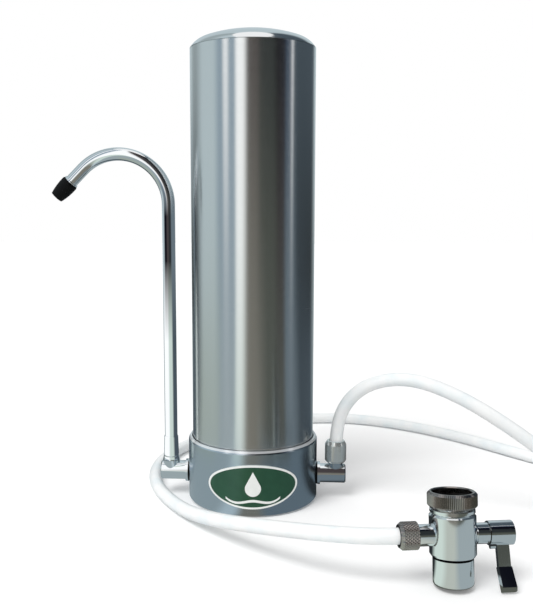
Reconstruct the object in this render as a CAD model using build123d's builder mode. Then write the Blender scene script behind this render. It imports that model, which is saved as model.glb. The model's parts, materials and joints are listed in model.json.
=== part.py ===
import os
from math import cos, pi, radians, sin, tan

from build123d import *

# Countertop water filter, in mm, +Z up, origin at the centre of the foot on the counter.
# +X is the inlet side, -X the outlet side, and the badge faces about -Y.

# Housing
can_radius = 44.5
can_wall = 1.0
can_bottom = 32.0
seam_height = 325.0
dome_height = 12.8
crown_radius = 110.0
crown_angle = 19.2
skirt_length = 8.0
thread_collar_radius = 41.6
thread_collar_top = 46.0

# Base
base_radius = 47.6
base_bottom = 1.0
base_floor = 30.0
rim_height = 47.0
rim_bevel_width = 1.2
rim_bevel_height = 2.2
pocket_radius = 45.2
boss_radius = 41.3
boss_bore_radius = 38.0
boss_top = 45.0
recess_radius = 44.0
plate_bottom = 3.0
plate_top = 6.0
pad_radius = 43.5
plate_screw_count = 3
plate_screw_ring = 34.0
plate_screw_radius = 2.0
plate_screw_head = 3.6
plate_screw_length = 10.0
o_ring_radius = 0.95
o_ring_groove_radius = 39.5
o_ring_height = 41.75

# Badge
badge_width = 62.4
badge_height = 31.2
badge_centre = 22.2
badge_turn = 4.0
badge_thickness = 0.7
badge_border = 1.3
motif_thickness = 0.25

# Cartridge
spigot_flange_radius = 21.0
spigot_radius = 6.5
spigot_bore = 4.0
spigot_top = 52.0
cartridge_bottom = 35.0
cartridge_top = 291.0
cap_thickness = 3.0
cap_rim = 6.0
cap_radius = 33.5
media_radius = 32.0
core_radius = 11.5
core_bore = 9.5
core_hole_rows = 6
core_hole_count = 4

# Side ports, elbows and compression nut
port_height = 18.0
port_bore = 3.2
shank_radius = 5.0
shank_depth = 10.0
spot_face = 46.7
spot_radius = 9.4
gasket_thickness = 1.5
flange_radius = 8.4
flange_thickness = 2.0
barrel_radius = 7.0
barrel_end = 69.0
riser_offset = 61.5
inlet_riser_offset = 30.0
neck_radius = 5.4
inlet_nut_radius = 7.9
inlet_nut_bottom = 26.8
inlet_nut_top = 43.0
inlet_thread_radius = 6.0
inlet_thread_top = 35.5
hose_seat = 31.0

# Spout
spout_radius = 4.75
spout_bore = 3.0
spout_foot = 19.5
bend_start = 216.3
bend_radius = 36.5
bend_angle = 135.0
spout_straight = 20.0
outlet_boss_radius = 6.4
outlet_boss_top = 26.2
outlet_boss_bore = 4.95
sleeve_bottom = 26.5
sleeve_top = 44.5
sleeve_bottom_radius = 5.7
sleeve_top_radius = 5.25
spout_ring_section = 0.55
spout_ring_groove = 3.7
bead_start = 12.2
bead_length = 1.1
bead_height = 0.7
tip_start = 13.4
tip_length = 15.0
tip_wide_radius = 6.2
tip_end_radius = 4.7
tip_bore = 3.2

# Diverter valve, leaning back on its lever, with heights along its own axis
valve_x = 124.6
valve_y = -143.0
valve_lift = 1.5
valve_lean = 8.0
valve_turn = 9.0
valve_port_height = 28.6
collar_radius = 11.6
collar_top = 15.9
collar_bore = 9.0
collar_thread_radius = 10.6
valve_radius = 13.3
valve_bottom = 16.7
valve_shoulder = 40.8
valve_bore = 7.0
neck_ring_radius = 12.9
neck_ring_bottom = 41.7
neck_ring_top = 43.6
valve_neck_radius = 9.9
valve_neck_top = 47.2
clip_thickness = 0.4
clip_height = 46.65
washer_thickness = 1.4
swivel_radius = 14.2
swivel_bottom = 44.4
swivel_top = 53.2
swivel_thread_radius = 11.4
swivel_flange_bore = 10.2
swivel_flange_top = 46.1
swivel_relief_radius = 12.0
swivel_relief_top = 48.8
stub_radius = 6.15
stub_end = 20.6
hose_nut_radius = 8.1
hose_nut_end = 31.6
hose_nut_thread = 6.5
valve_hose_seat = 25.0
valve_hose_run = 43.0
gland_radius = 5.95
gland_end = 20.2
spindle_radius = 4.0
spindle_groove = 3.1
hub_radius = 6.9
hub_start = 20.5
hub_end = 34.5
lever_centre = 28.3
lever_swing = 12.0
lever_neck_width = 7.2
lever_neck_thickness = 3.2
lever_neck_length = 18.6
paddle_root_width = 7.8
paddle_tip_width = 8.6
paddle_thickness = 4.2
paddle_length = 14.0
paddle_lean = 22.0
paddle_chamfer = 1.6
aerator_hole_rings = 2

valve_foot = Vector(valve_x, valve_y, valve_lift)
valve_side = Vector(cos(radians(valve_turn)), sin(radians(valve_turn)), 0)
valve_back = Vector(-sin(radians(valve_turn)), cos(radians(valve_turn)), 0)
valve_up = valve_back * sin(radians(valve_lean)) + Vector(0, 0, cos(radians(valve_lean)))
valve_base = Plane(origin=valve_foot, x_dir=valve_side, z_dir=valve_up)
port_centre = valve_foot + valve_up * valve_port_height

# Hose, from its seat in the inlet elbow to its seat in the diverter
hose_radius = 4.75
hose_bore = 3.2
hose_route = [
    (riser_offset, 0, hose_seat),
    (riser_offset, 0, 51),
    (68, -4, 73),
    (85, -13, 90),
    (113, -23, 96),
    (146, -32, 85),
    (178, -37, 66),
    (209, -34, 43),
    (238, -20, 21),
    (256, 9, 7),
    (260, 42, 5),
    (246, 75, 5),
    (220, 102, 5),
    (180, 150, 5),
    (130, 191, 5),
    (70, 213, 5),
    (8, 196, 5),
    (-40, 150, 5),
    (-71, 97, 5),
    (-83, 48, 5),
    (-74, -2, 5),
    (-47, -48, 5),
    (-22, -79, 11),
    (4, -106, 18.5),
    (36, -131, 26),
    (57, -141.5, 28.8),
    port_centre - valve_side * valve_hose_run,
    port_centre - valve_side * valve_hose_seat,
]

valve_axis = Axis(valve_foot, valve_up)
valve_profile = Plane(origin=valve_foot, x_dir=valve_side, z_dir=-valve_base.y_dir)
valve_port = Plane(origin=port_centre, x_dir=valve_base.y_dir, z_dir=valve_side)
lever_lean = radians(valve_lean + lever_swing)
lever_back = valve_back * cos(lever_lean) - Vector(0, 0, sin(lever_lean))
lever_side = Plane(origin=port_centre, x_dir=lever_back, z_dir=valve_side)
lever_face = Plane(origin=port_centre, x_dir=valve_side, z_dir=-lever_back)
port_side = Plane(origin=(0, 0, port_height), x_dir=(0, 1, 0), z_dir=(1, 0, 0))
spout_axis = Axis((-riser_offset, 0, 0), (0, 0, 1))
inlet_axis = Axis((riser_offset, 0, 0), (0, 0, 1))
crown_centre = (0, seam_height + dome_height - crown_radius)
bend_centre = (-riser_offset - bend_radius, bend_start)
flange_start = spot_face + gasket_thickness

os.makedirs("parts", exist_ok=True)


def save(piece, name):
    piece.part.label = name
    export_step(piece.part, f"parts/{name}.step")


# Rubber foot pad under the base
with BuildPart() as foot_pad:
    with BuildSketch():
        Circle(pad_radius)
    extrude(amount=plate_bottom)
    chamfer(foot_pad.edges().group_by(Axis.Z)[0], 0.5)
save(foot_pad, "foot_pad")

# Steel plate that closes the underside of the base
with BuildPart() as bottom_plate:
    with BuildSketch(Plane.XY.offset(plate_bottom)):
        Circle(recess_radius - 0.1)
        with PolarLocations(plate_screw_ring, plate_screw_count):
            Circle(plate_screw_head, mode=Mode.SUBTRACT)
    extrude(amount=plate_top - plate_bottom)
save(bottom_plate, "bottom_plate")

# Screws that hold the plate to the base
for number, place in enumerate(PolarLocations(plate_screw_ring, plate_screw_count), 1):
    screw_plane = Plane(place).offset(plate_bottom)
    with BuildPart() as plate_screw:
        with BuildSketch(screw_plane):
            Circle(plate_screw_head - 0.1)
        extrude(amount=plate_top - plate_bottom)
        with BuildSketch(screw_plane.offset(plate_top - plate_bottom)):
            Circle(plate_screw_radius)
        extrude(amount=plate_screw_length)
        with BuildSketch(screw_plane):
            Rectangle(4, 1)
            Rectangle(1, 4)
        extrude(amount=1.5, mode=Mode.SUBTRACT)
    save(plate_screw, f"plate_screw_{number}")

# Base with its rim, the threaded boss for the housing and the water passages
with BuildPart() as base_body:
    with BuildSketch(Plane.XZ):
        with BuildLine():
            Polyline(
                (0, plate_top),
                (recess_radius, plate_top),
                (recess_radius, base_bottom),
                (base_radius - 1, base_bottom),
                (base_radius, base_bottom + 1.2),
                (base_radius, rim_height - rim_bevel_height),
                (base_radius - rim_bevel_width, rim_height),
                (pocket_radius, rim_height),
                (pocket_radius, base_floor),
                (boss_radius, base_floor),
                (boss_radius, o_ring_height - 1.2),
                (o_ring_groove_radius, o_ring_height - 1.2),
                (o_ring_groove_radius, o_ring_height + 1.2),
                (boss_radius, o_ring_height + 1.2),
                (boss_radius, boss_top - 0.8),
                (boss_radius - 0.8, boss_top),
                (boss_bore_radius, boss_top),
                (boss_bore_radius, base_floor),
                (0, base_floor),
                close=True,
            )
        make_face()
    revolve(axis=Axis.Z)
    for side in (-1, 1):
        with BuildSketch(port_side.offset(side * spot_face)):
            Circle(spot_radius)
        extrude(amount=side * 4, mode=Mode.SUBTRACT)
        with BuildSketch(port_side.offset(side * spot_face)):
            Circle(shank_radius)
        extrude(amount=-side * shank_depth, mode=Mode.SUBTRACT)
    with BuildSketch(port_side.offset(-spot_face)):
        Circle(port_bore)
    extrude(amount=spot_face, mode=Mode.SUBTRACT)
    with BuildSketch(port_side.offset(inlet_riser_offset)):
        Circle(port_bore)
    extrude(amount=spot_face - inlet_riser_offset, mode=Mode.SUBTRACT)
    with BuildSketch(Plane.XY.offset(port_height)):
        Circle(spigot_bore)
        with Locations((inlet_riser_offset, 0)):
            Circle(port_bore)
    extrude(amount=base_floor - port_height, mode=Mode.SUBTRACT)
    with BuildSketch(Plane.XY.offset(base_floor)):
        Circle(spigot_radius)
    extrude(amount=-8, mode=Mode.SUBTRACT)
    with BuildSketch(Plane.XY.offset(plate_top)):
        with PolarLocations(plate_screw_ring, plate_screw_count):
            Circle(plate_screw_radius)
    extrude(amount=plate_screw_length + 1, mode=Mode.SUBTRACT)
save(base_body, "base_body")

# Curved oval badge plate on the front of the base
badge_right = Vector(cos(radians(badge_turn)), sin(radians(badge_turn)), 0)
badge_front = Vector(sin(radians(badge_turn)), -cos(radians(badge_turn)), 0)
badge_plane = Plane(origin=(0, 0, badge_centre), x_dir=badge_right, z_dir=badge_front)
with BuildPart() as badge_plate:
    with BuildSketch():
        Circle(base_radius + badge_thickness)
        Circle(base_radius, mode=Mode.SUBTRACT)
    extrude(amount=rim_height)
    with BuildSketch(badge_plane):
        Ellipse(badge_width / 2 - badge_border, badge_height / 2 - badge_border)
    extrude(amount=base_radius + 2, mode=Mode.INTERSECT)
save(badge_plate, "badge_plate")

# White border round the badge, a little proud of the plate
with BuildPart() as badge_frame:
    with BuildSketch():
        Circle(base_radius + badge_thickness + 0.15)
        Circle(base_radius, mode=Mode.SUBTRACT)
    extrude(amount=rim_height)
    with BuildSketch(badge_plane):
        Ellipse(badge_width / 2, badge_height / 2)
        Ellipse(badge_width / 2 - badge_border, badge_height / 2 - badge_border, mode=Mode.SUBTRACT)
    extrude(amount=base_radius + 2, mode=Mode.INTERSECT)
save(badge_frame, "badge_frame")

# Raised water drop on the badge
with BuildPart() as badge_drop:
    with BuildSketch():
        Circle(base_radius + badge_thickness + motif_thickness)
        Circle(base_radius + badge_thickness, mode=Mode.SUBTRACT)
    extrude(amount=rim_height)
    with BuildSketch(badge_plane):
        with Locations((0, -1.0)):
            Circle(5.6)
        with BuildLine():
            Polyline((-5.2, 1.1), (0, 11.0), (5.2, 1.1), close=True)
        make_face()
    extrude(amount=base_radius + 2, mode=Mode.INTERSECT)
save(badge_drop, "badge_drop")

# Raised ripple under the drop
with BuildPart() as badge_ripple:
    with BuildSketch():
        Circle(base_radius + badge_thickness + motif_thickness)
        Circle(base_radius + badge_thickness, mode=Mode.SUBTRACT)
    extrude(amount=rim_height)
    with BuildSketch(badge_plane):
        with BuildLine():
            Spline((-19, -7.6), (-9.5, -10.4), (0, -8.8), (9.5, -10.4), (19, -7.6))
            Line((19, -7.6), (19, -9.0))
            Spline((19, -9.0), (9.5, -12.0), (0, -10.6), (-9.5, -12.0), (-19, -9.0))
            Line((-19, -9.0), (-19, -7.6))
        make_face()
    extrude(amount=base_radius + 2, mode=Mode.INTERSECT)
save(badge_ripple, "badge_ripple")

# Brushed steel housing sleeve
with BuildPart() as housing_sleeve:
    with BuildSketch(Plane.XY.offset(can_bottom)):
        Circle(can_radius)
        Circle(can_radius - can_wall, mode=Mode.SUBTRACT)
    extrude(amount=seam_height - can_bottom)
    chamfer(housing_sleeve.edges().group_by(Axis.Z)[-1].sort_by(SortBy.RADIUS)[-1], 0.45)
save(housing_sleeve, "housing_sleeve")

# Polished dome with a skirt inside the sleeve
with BuildPart() as housing_dome:
    with BuildSketch(Plane.XZ):
        with BuildLine():
            crown = CenterArc(crown_centre, crown_radius, 90 - crown_angle, crown_angle)
            TangentArc(crown @ 0, (can_radius, seam_height), tangent=-(crown % 0))
            vault = CenterArc(crown_centre, crown_radius - can_wall, 90 - crown_angle, crown_angle)
            TangentArc(vault @ 0, (can_radius - 2 * can_wall, seam_height), tangent=-(vault % 0))
            Line(crown @ 1, vault @ 1)
            Polyline(
                (can_radius - 2 * can_wall, seam_height),
                (can_radius - 2 * can_wall, seam_height - skirt_length),
                (can_radius - can_wall, seam_height - skirt_length),
                (can_radius - can_wall, seam_height),
                (can_radius, seam_height),
            )
        make_face()
    revolve(axis=Axis.Z)
save(housing_dome, "housing_dome")

# Threaded collar welded inside the foot of the sleeve
with BuildPart() as thread_collar:
    with BuildSketch(Plane.XY.offset(can_bottom)):
        Circle(can_radius - can_wall)
        Circle(thread_collar_radius, mode=Mode.SUBTRACT)
    extrude(amount=thread_collar_top - can_bottom)
save(thread_collar, "thread_collar")

# Seal between the housing and the base
with BuildPart() as housing_o_ring:
    with BuildSketch(Plane.XZ):
        with Locations((o_ring_groove_radius + o_ring_radius, o_ring_height)):
            Circle(o_ring_radius)
    revolve(axis=Axis.Z)
save(housing_o_ring, "housing_o_ring")

# Outlet spigot that the cartridge stands on
with BuildPart() as outlet_spigot:
    with BuildSketch(Plane.XZ):
        with BuildLine():
            Polyline(
                (spigot_bore, base_floor - 8),
                (spigot_radius, base_floor - 8),
                (spigot_radius, base_floor),
                (spigot_flange_radius, base_floor),
                (spigot_flange_radius, base_floor + 2.5),
                (spigot_radius, base_floor + 2.5),
                (spigot_radius, spigot_top - 1),
                (spigot_radius - 1, spigot_top),
                (spigot_bore, spigot_top),
                close=True,
            )
        make_face()
    revolve(axis=Axis.Z)
save(outlet_spigot, "outlet_spigot")

# Rubber gasket under the cartridge
with BuildPart() as cartridge_gasket:
    with BuildSketch(Plane.XY.offset(base_floor + 2.5)):
        Circle(spigot_flange_radius - 1)
        Circle(spigot_radius + 1.5, mode=Mode.SUBTRACT)
    extrude(amount=cartridge_bottom - base_floor - 2.5)
save(cartridge_gasket, "cartridge_gasket")

# Lower end cap of the cartridge
with BuildPart() as cartridge_lower_cap:
    with BuildSketch(Plane.XY.offset(cartridge_bottom)):
        Circle(cap_radius)
        Circle(spigot_radius + 0.3, mode=Mode.SUBTRACT)
    extrude(amount=cap_thickness + cap_rim)
    with BuildSketch(Plane.XY.offset(cartridge_bottom + cap_thickness)):
        Circle(cap_radius - 1)
    extrude(amount=cap_rim, mode=Mode.SUBTRACT)
save(cartridge_lower_cap, "cartridge_lower_cap")

# Perforated core of the cartridge
media_bottom = cartridge_bottom + cap_thickness
media_top = cartridge_top - cap_thickness
core_step = (media_top - media_bottom) / core_hole_rows
with BuildPart() as cartridge_core:
    with BuildSketch(Plane.XY.offset(media_bottom)):
        Circle(core_radius)
        Circle(core_bore, mode=Mode.SUBTRACT)
    extrude(amount=media_top - media_bottom)
    for row in range(core_hole_rows):
        row_plane = Plane.XY.offset(media_bottom + core_step * (row + 0.5))
        with Locations(row_plane):
            with PolarLocations(core_radius, core_hole_count):
                Cylinder(2.5, 8, rotation=(0, 90, 0), mode=Mode.SUBTRACT)
save(cartridge_core, "cartridge_core")

# Carbon block round the core
with BuildPart() as cartridge_media:
    with BuildSketch(Plane.XY.offset(media_bottom)):
        Circle(media_radius)
        Circle(core_radius, mode=Mode.SUBTRACT)
    extrude(amount=media_top - media_bottom)
save(cartridge_media, "cartridge_media")

# Fleece wrapped round the carbon block
with BuildPart() as cartridge_wrap:
    with BuildSketch(Plane.XY.offset(media_bottom + cap_rim)):
        Circle(media_radius + 0.5)
        Circle(media_radius, mode=Mode.SUBTRACT)
    extrude(amount=media_top - media_bottom - 2 * cap_rim)
save(cartridge_wrap, "cartridge_wrap")

# Upper end cap of the cartridge
with BuildPart() as cartridge_upper_cap:
    with BuildSketch(Plane.XY.offset(media_top - cap_rim)):
        Circle(cap_radius)
    extrude(amount=cap_thickness + cap_rim)
    with BuildSketch(Plane.XY.offset(media_top - cap_rim)):
        Circle(cap_radius - 1)
    extrude(amount=cap_rim, mode=Mode.SUBTRACT)
save(cartridge_upper_cap, "cartridge_upper_cap")

# Pull knob on the upper cap
with BuildPart() as cartridge_knob:
    with BuildSketch(Plane.XZ):
        with BuildLine():
            Polyline(
                (0, cartridge_top),
                (9, cartridge_top),
                (6, cartridge_top + 4),
                (9, cartridge_top + 9),
                (8, cartridge_top + 11),
                (0, cartridge_top + 11),
                close=True,
            )
        make_face()
    revolve(axis=Axis.Z)
save(cartridge_knob, "cartridge_knob")

# Gaskets between the elbows and the flats on the base
for side, name in ((1, "inlet_gasket"), (-1, "outlet_gasket")):
    with BuildPart() as port_gasket:
        with BuildSketch(port_side.offset(side * spot_face)):
            Circle(flange_radius - 0.3)
            Circle(shank_radius, mode=Mode.SUBTRACT)
        extrude(amount=side * gasket_thickness)
    save(port_gasket, name)

# Inlet elbow: shank, flange, barrel and threaded neck for the hose
with BuildPart() as inlet_elbow:
    with BuildSketch(port_side.offset(spot_face - shank_depth + 0.5)):
        Circle(shank_radius)
    extrude(amount=flange_start - spot_face + shank_depth - 0.5)
    with BuildSketch(port_side.offset(flange_start)):
        Circle(flange_radius)
    extrude(amount=flange_thickness)
    with BuildSketch(port_side.offset(flange_start + flange_thickness)):
        Circle(barrel_radius)
    extrude(amount=barrel_end - flange_start - flange_thickness)
    chamfer(inlet_elbow.faces().sort_by(Axis.X)[-1].edges(), 0.8)
    with BuildSketch(Plane(origin=(riser_offset, 0, port_height))):
        Circle(neck_radius)
    extrude(amount=inlet_nut_bottom - port_height)
    with BuildSketch(Plane(origin=(riser_offset, 0, inlet_nut_bottom))):
        Circle(inlet_thread_radius)
    extrude(amount=inlet_thread_top - inlet_nut_bottom)
    with BuildSketch(port_side.offset(spot_face - shank_depth + 0.5)):
        Circle(port_bore)
    extrude(amount=riser_offset - spot_face + shank_depth - 0.5, mode=Mode.SUBTRACT)
    with BuildSketch(Plane(origin=(riser_offset, 0, port_height))):
        Circle(port_bore)
    extrude(amount=inlet_thread_top - port_height, mode=Mode.SUBTRACT)
    with BuildSketch(Plane(origin=(riser_offset, 0, hose_seat))):
        Circle(hose_radius + 0.05)
    extrude(amount=inlet_thread_top - hose_seat, mode=Mode.SUBTRACT)
save(inlet_elbow, "inlet_elbow")

# Compression nut on the inlet neck
inlet_profile = Plane(origin=(riser_offset, 0, 0), x_dir=(1, 0, 0), z_dir=(0, -1, 0))
with BuildPart() as inlet_nut:
    with BuildSketch(inlet_profile):
        with BuildLine():
            Polyline(
                (inlet_thread_radius + 0.1, inlet_nut_bottom + 0.2),
                (inlet_nut_radius - 1.0, inlet_nut_bottom + 0.2),
                (inlet_nut_radius, inlet_nut_bottom + 1.7),
                (inlet_nut_radius, inlet_nut_top - 2.6),
                (inlet_nut_radius - 1.5, inlet_nut_top),
                (hose_radius + 0.1, inlet_nut_top),
                (hose_radius + 0.1, inlet_nut_top - 3),
                (inlet_thread_radius + 0.1, inlet_nut_top - 4.2),
                close=True,
            )
        make_face()
    revolve(axis=inlet_axis)
save(inlet_nut, "inlet_nut")

# Ferrule squeezed on the hose inside the nut
with BuildPart() as inlet_ferrule:
    with BuildSketch(inlet_profile):
        with BuildLine():
            Polyline(
                (hose_radius, inlet_thread_top + 0.1),
                (inlet_thread_radius - 0.1, inlet_thread_top + 0.1),
                (inlet_thread_radius - 0.1, inlet_nut_top - 4.6),
                (hose_radius + 0.4, inlet_nut_top - 3.4),
                (hose_radius, inlet_nut_top - 3.4),
                close=True,
            )
        make_face()
    revolve(axis=inlet_axis)
save(inlet_ferrule, "inlet_ferrule")

# Outlet elbow: shank, flange, barrel and the boss that the spout turns in
with BuildPart() as outlet_elbow:
    with BuildSketch(port_side.offset(-spot_face + shank_depth - 0.5)):
        Circle(shank_radius)
    extrude(amount=-(flange_start - spot_face + shank_depth - 0.5))
    with BuildSketch(port_side.offset(-flange_start)):
        Circle(flange_radius)
    extrude(amount=-flange_thickness)
    with BuildSketch(port_side.offset(-flange_start - flange_thickness)):
        Circle(barrel_radius)
    extrude(amount=-(barrel_end - flange_start - flange_thickness))
    chamfer(outlet_elbow.faces().sort_by(Axis.X)[0].edges(), 0.8)
    with BuildSketch(Plane(origin=(-riser_offset, 0, port_height))):
        Circle(outlet_boss_radius)
    extrude(amount=outlet_boss_top - port_height)
    with BuildSketch(port_side.offset(-spot_face + shank_depth - 0.5)):
        Circle(port_bore)
    extrude(amount=-(riser_offset - spot_face + shank_depth - 0.5), mode=Mode.SUBTRACT)
    with BuildSketch(Plane(origin=(-riser_offset, 0, port_height))):
        Circle(outlet_boss_bore)
    extrude(amount=outlet_boss_top - port_height, mode=Mode.SUBTRACT)
save(outlet_elbow, "outlet_elbow")

# Gooseneck spout tube with grooves for its seals
spout_rings = (21.4, 23.8)
spout_profile = Plane(origin=(-riser_offset, 0, 0), x_dir=(1, 0, 0), z_dir=(0, -1, 0))
with BuildPart() as spout_tube:
    with BuildLine(Plane.XZ) as spout_path:
        Line((-riser_offset, spout_foot), (-riser_offset, bend_start))
        CenterArc(bend_centre, bend_radius, 0, bend_angle)
        Line(spout_path.line @ 1, spout_path.line @ 1 + (spout_path.line % 1) * spout_straight)
    with BuildSketch(Plane(origin=(-riser_offset, 0, spout_foot))):
        Circle(spout_radius)
        Circle(spout_bore, mode=Mode.SUBTRACT)
    sweep(path=spout_path.line)
    with BuildSketch(spout_profile):
        for height in spout_rings:
            with Locations((spout_ring_groove + 1, height)):
                Rectangle(2, 2.4 * spout_ring_section)
    revolve(axis=spout_axis, mode=Mode.SUBTRACT)
save(spout_tube, "spout_tube")

# Seals on the foot of the spout
for number, height in enumerate(spout_rings, 1):
    with BuildPart() as spout_o_ring:
        with BuildSketch(spout_profile):
            with Locations((spout_ring_groove + spout_ring_section, height)):
                Circle(spout_ring_section)
        revolve(axis=spout_axis)
    save(spout_o_ring, f"spout_o_ring_{number}")

# Tapered sleeve round the foot of the spout
with BuildPart() as spout_sleeve:
    with BuildSketch(spout_profile):
        with BuildLine():
            Polyline(
                (spout_radius, sleeve_bottom),
                (sleeve_bottom_radius + 0.6, sleeve_bottom),
                (sleeve_bottom_radius, sleeve_bottom + 2.5),
                (sleeve_top_radius, sleeve_top - 0.5),
                (sleeve_top_radius - 0.3, sleeve_top),
                (spout_radius, sleeve_top),
                close=True,
            )
        make_face()
    revolve(axis=spout_axis)
save(spout_sleeve, "spout_sleeve")

# Line of the spout's mouth, past the end of its bend
lean = radians(bend_angle)
mouth_dir = Vector(-sin(lean), 0, cos(lean))
bend_end = Vector(bend_centre[0] + bend_radius * cos(lean), 0, bend_centre[1] + bend_radius * sin(lean))
mouth_axis = Axis(bend_end, mouth_dir)
mouth_profile = Plane(origin=bend_end, x_dir=(0, 1, 0), z_dir=Vector(0, 1, 0).cross(mouth_dir))

# Chrome bead behind the tip
with BuildPart() as spout_bead:
    with BuildSketch(mouth_profile):
        with Locations((spout_radius + bead_height / 2, bead_start + bead_length / 2)):
            RectangleRounded(bead_height, bead_length, 0.3)
    revolve(axis=mouth_axis)
save(spout_bead, "spout_bead")

# Black rubber tip pushed on the mouth
with BuildPart() as spout_tip:
    with BuildSketch(mouth_profile):
        with BuildLine():
            tip_end = tip_start + tip_length
            Polyline(
                (tip_bore, tip_end),
                (tip_bore, spout_straight + 0.1),
                (spout_radius, spout_straight + 0.1),
                (spout_radius, tip_start),
                (tip_wide_radius - 0.6, tip_start),
                (tip_wide_radius, tip_start + 1),
            )
            ThreePointArc(
                (tip_wide_radius, tip_start + 1),
                (tip_wide_radius - 0.25, tip_start + 8),
                (tip_end_radius, tip_end),
            )
            Line((tip_end_radius, tip_end), (tip_bore, tip_end))
        make_face()
    revolve(axis=mouth_axis)
save(spout_tip, "spout_tip")

# Hose along its route, with each corner's arc as large as its two runs allow
runs = [Vector(b) - Vector(a) for a, b in zip(hose_route, hose_route[1:])]
hose_arcs = []
for before, after in zip(runs, runs[1:]):
    half_turn = radians(before.get_angle(after)) / 2
    hose_arcs.append(0.45 * min(before.length, after.length) / tan(half_turn))
with BuildPart() as feed_hose:
    with BuildLine() as hose_line:
        FilletPolyline(*hose_route, radius=hose_arcs)
    with BuildSketch(Plane(origin=hose_route[0])):
        Circle(hose_radius)
        Circle(hose_bore, mode=Mode.SUBTRACT)
    sweep(path=hose_line.line)
save(feed_hose, "feed_hose")
hose_length = hose_line.wire().length
hose_section = pi * (hose_radius**2 - hose_bore**2)
volume_ratio = feed_hose.part.volume / (hose_length * hose_section)
print("hose length", round(hose_length, 1), "volume ratio", round(volume_ratio, 4))
print("hose arc radii", [round(r) for r in hose_arcs])

# Diverter body with its neck, hose stub and bores
with BuildPart() as diverter_body:
    with BuildSketch(valve_profile):
        with BuildLine():
            Polyline(
                (0, 8),
                (collar_thread_radius, 8),
                (collar_thread_radius, valve_bottom),
                (valve_radius - 1.0, valve_bottom),
                (valve_radius, valve_bottom + 1.4),
                (valve_radius, valve_shoulder - 1.2),
                (valve_radius - 1.2, valve_shoulder),
                (neck_ring_radius - 1.2, valve_shoulder),
                (neck_ring_radius - 1.2, neck_ring_bottom),
                (neck_ring_radius, neck_ring_bottom),
                (neck_ring_radius, neck_ring_top - 0.5),
                (neck_ring_radius - 0.5, neck_ring_top),
                (valve_neck_radius, neck_ring_top),
                (valve_neck_radius, valve_neck_top),
                (0, valve_neck_top),
                close=True,
            )
        make_face()
    revolve(axis=valve_axis)
    with BuildSketch(valve_port.offset(-valve_bore - 2)):
        Circle(stub_radius)
    extrude(amount=-(stub_end - valve_bore - 2))
    with BuildSketch(valve_port.offset(-stub_end)):
        Circle(hose_nut_thread)
    extrude(amount=-(valve_hose_seat + 2 - stub_end))
    with BuildSketch(valve_base.offset(8)):
        Circle(valve_bore)
    extrude(amount=valve_neck_top - 8, mode=Mode.SUBTRACT)
    with BuildSketch(valve_port.offset(valve_bore - 2)):
        Circle(shank_radius)
    extrude(amount=valve_radius, mode=Mode.SUBTRACT)
    with BuildSketch(valve_port.offset(-valve_bore + 1)):
        Circle(port_bore)
    extrude(amount=-(valve_hose_seat + 3 - valve_bore), mode=Mode.SUBTRACT)
    with BuildSketch(valve_port.offset(-valve_hose_seat)):
        Circle(hose_radius + 0.05)
    extrude(amount=-3, mode=Mode.SUBTRACT)
    with BuildSketch(valve_profile):
        with Locations((valve_neck_radius, clip_height)):
            Rectangle(0.8, clip_thickness + 0.1)
    revolve(axis=valve_axis, mode=Mode.SUBTRACT)
save(diverter_body, "diverter_body")

# Spring clip that holds the swivel nut on the neck
with BuildPart() as swivel_clip:
    with BuildSketch(valve_profile):
        with Locations((valve_neck_radius + 0.4, clip_height)):
            Rectangle(1.6, clip_thickness)
    revolve(axis=valve_axis)
save(swivel_clip, "swivel_clip")

# Washer that seals against the faucet
with BuildPart() as faucet_washer:
    with BuildSketch(valve_base.offset(valve_neck_top)):
        Circle(swivel_thread_radius - 0.4)
        Circle(valve_bore - 0.5, mode=Mode.SUBTRACT)
    extrude(amount=washer_thickness)
save(faucet_washer, "faucet_washer")

# Knurled nut that screws on the faucet
with BuildPart() as swivel_nut:
    with BuildSketch(valve_profile):
        with BuildLine():
            Polyline(
                (swivel_flange_bore, swivel_bottom),
                (swivel_radius - 1.2, swivel_bottom),
                (swivel_radius, swivel_bottom + 1.2),
                (swivel_radius, swivel_top - 1.4),
                (swivel_radius - 1.4, swivel_top),
                (swivel_thread_radius + 0.6, swivel_top),
                (swivel_thread_radius, swivel_top - 0.6),
                (swivel_thread_radius, swivel_relief_top),
                (swivel_relief_radius, swivel_relief_top),
                (swivel_relief_radius, swivel_flange_top),
                (swivel_flange_bore, swivel_flange_top),
                close=True,
            )
        make_face()
    revolve(axis=valve_axis)
save(swivel_nut, "swivel_nut")

# Outlet collar under the body
with BuildPart() as outlet_collar:
    with BuildSketch(valve_profile):
        with BuildLine():
            Polyline(
                (collar_bore, 0),
                (collar_radius - 1.8, 0),
            )
            ThreePointArc(
                (collar_radius - 1.8, 0),
                (collar_radius - 0.53, 0.53),
                (collar_radius, 1.8),
            )
            Polyline(
                (collar_radius, 1.8),
                (collar_radius, collar_top),
                (collar_thread_radius, collar_top),
                (collar_thread_radius, 7.5),
                (collar_bore, 7.5),
                (collar_bore, 0),
            )
        make_face()
    revolve(axis=valve_axis)
save(outlet_collar, "outlet_collar")

# Perforated aerator disc inside the collar
with BuildPart() as aerator_disc:
    with BuildSketch(valve_base.offset(2.5)):
        Circle(collar_bore)
        for ring in range(1, aerator_hole_rings + 1):
            with PolarLocations(3.4 * ring, 6 * ring):
                Circle(0.9, mode=Mode.SUBTRACT)
    extrude(amount=3.5)
save(aerator_disc, "aerator_disc")

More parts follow.
